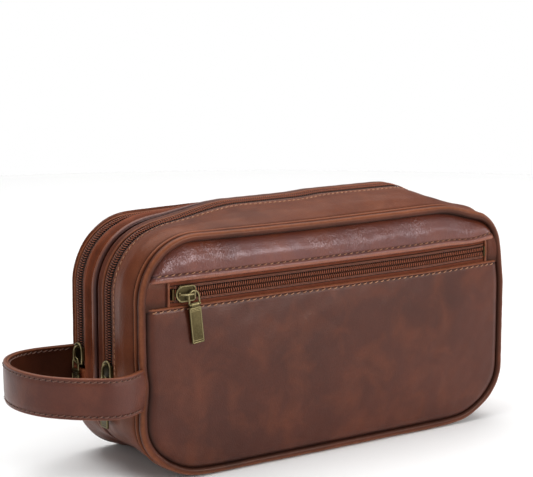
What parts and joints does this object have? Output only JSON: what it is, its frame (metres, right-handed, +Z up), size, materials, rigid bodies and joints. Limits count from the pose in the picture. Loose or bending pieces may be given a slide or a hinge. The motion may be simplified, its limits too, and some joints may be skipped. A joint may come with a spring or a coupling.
{
  "type": "shaving kit bag",
  "caption": "Soft rectangular shaving kit bag with two zipped compartments, a zipped front pocket, piped edges and a side carry strap.",
  "frame": {"origin": "middle of the body's length and depth, on the base", "axes": "+X along the bag, with the strap on the -X side, +Y towards the back of the bag, +Z up; the front pocket looks along -Y"},
  "size_m": [0.3132, 0.0867, 0.1359],
  "materials": {
    "leather": "satin",
    "leather_light": "satin",
    "leather_dark": "satin",
    "zip_tape": "matte",
    "zip_coil": "satin",
    "brass": "satin",
    "thread": "matte",
    "lining": "matte",
    "foam": "matte"
  },
  "bodies": {
    "case": {"pocket_panel_lower": "leather", "front_piping_lower": "leather", "front_gusset_lower": "leather", "front_gusset_inner": "leather", "front_zip_tape_inner": "zip_tape", "front_zip_coil_inner": "zip_coil", "front_zip_tape_ends": "zip_tape", "front_zip_coil_ends": "zip_coil", "front_zip_stops": "brass", "front_zip_end_tabs": "leather_light", "front_foam_lower": "foam", "front_lining_lower": "lining", "pocket_pouch_lower": "lining", "divider": "lining", "seam_piping": "leather_dark", "rear_gusset_inner": "leather_light", "rear_gusset_lower": "leather", "rear_zip_tape_inner": "zip_tape", "rear_zip_coil_inner": "zip_coil", "rear_zip_tape_ends": "zip_tape", "rear_zip_coil_ends": "zip_coil", "rear_zip_stops": "brass", "rear_zip_end_tabs": "leather_light", "rear_panel_lower": "leather", "rear_piping_lower": "leather", "rear_foam_lower": "foam", "rear_lining_lower": "lining", "strap_roots": "leather"},
    "front_flap": {"front_panel_upper": "leather", "pocket_panel_upper": "leather", "front_piping_upper": "leather", "front_gusset_outer": "leather", "front_zip_tape_outer": "zip_tape", "front_zip_coil_outer": "zip_coil", "front_foam_upper": "foam", "front_lining_upper": "lining", "pocket_pouch_upper": "lining", "pocket_zip_tapes": "zip_tape", "pocket_zip_coils": "zip_coil", "pocket_zip_stops": "brass", "pocket_end_tab_left": "leather", "pocket_end_tab_right": "leather"},
    "rear_flap": {"rear_panel_upper": "leather", "rear_piping_upper": "leather", "rear_gusset_outer": "leather", "rear_zip_tape_outer": "zip_tape", "rear_zip_coil_outer": "zip_coil", "rear_foam_upper": "foam", "rear_lining_upper": "lining"},
    "strap": {"strap": "leather"},
    "pocket_slider": {"pocket_slider": "brass"},
    "pocket_pull_link": {"pocket_pull_link": "brass"},
    "pocket_pull_tab": {"pocket_pull_tab": "brass"},
    "front_slider": {"front_slider": "brass"},
    "front_pull_link": {"front_pull_link": "brass"},
    "front_pull_tab": {"front_pull_tab": "brass"},
    "rear_slider": {"rear_slider": "brass"},
    "rear_pull_link": {"rear_pull_link": "brass"},
    "rear_pull_tab": {"rear_pull_tab": "brass"}
  },
  "joints": [
    {"name": "front_flap_fold", "type": "hinge", "parent": "case", "child": "front_flap", "pos_m": [0, -0.041, 0.068], "axis": [1, 0, 0], "range_deg": [0, 40]},
    {"name": "rear_flap_fold", "type": "hinge", "parent": "case", "child": "rear_flap", "pos_m": [0, 0.041, 0.068], "axis": [-1, 0, 0], "range_deg": [0, 40]},
    {"name": "pocket_slider_run", "type": "slide", "parent": "front_flap", "child": "pocket_slider", "axis": [1, 0, 0], "range_m": [0, 0.2]},
    {"name": "pocket_pull_swing", "type": "hinge", "parent": "pocket_slider", "child": "pocket_pull_link", "pos_m": [-0.0958, -0.041, 0.1025], "axis": [0, -1, 0], "range_deg": [-35, 90]},
    {"name": "pocket_pull_lift", "type": "hinge", "parent": "pocket_pull_link", "child": "pocket_pull_tab", "pos_m": [-0.0958, -0.0439, 0.0966], "axis": [-1, 0, 0], "range_deg": [0, 130]},
    {"name": "front_slider_run", "type": "slide", "parent": "case", "child": "front_slider", "axis": [0, 0, 1], "range_m": [0, 0.034]},
    {"name": "front_pull_swing", "type": "hinge", "parent": "front_slider", "child": "front_pull_link", "pos_m": [-0.127, -0.007, 0.0533], "axis": [-1, 0, 0], "range_deg": [-75, 75]},
    {"name": "front_pull_lift", "type": "hinge", "parent": "front_pull_link", "child": "front_pull_tab", "pos_m": [-0.1299, -0.007, 0.0474], "axis": [0, 1, 0], "range_deg": [0, 130]},
    {"name": "rear_slider_run", "type": "slide", "parent": "case", "child": "rear_slider", "axis": [0, 0, 1], "range_m": [0, 0.031]},
    {"name": "rear_pull_swing", "type": "hinge", "parent": "rear_slider", "child": "rear_pull_link", "pos_m": [-0.127, 0.0245, 0.0573], "axis": [-1, 0, 0], "range_deg": [-5, 75]},
    {"name": "rear_pull_lift", "type": "hinge", "parent": "rear_pull_link", "child": "rear_pull_tab", "pos_m": [-0.1299, 0.0245, 0.0514], "axis": [0, 1, 0], "range_deg": [0, 130]},
    {"name": "strap_bend", "type": "hinge", "parent": "case", "child": "strap", "pos_m": [-0.14, 0, 0.053], "axis": [0, 1, 0], "range_deg": [-25, 25]}
  ]
}
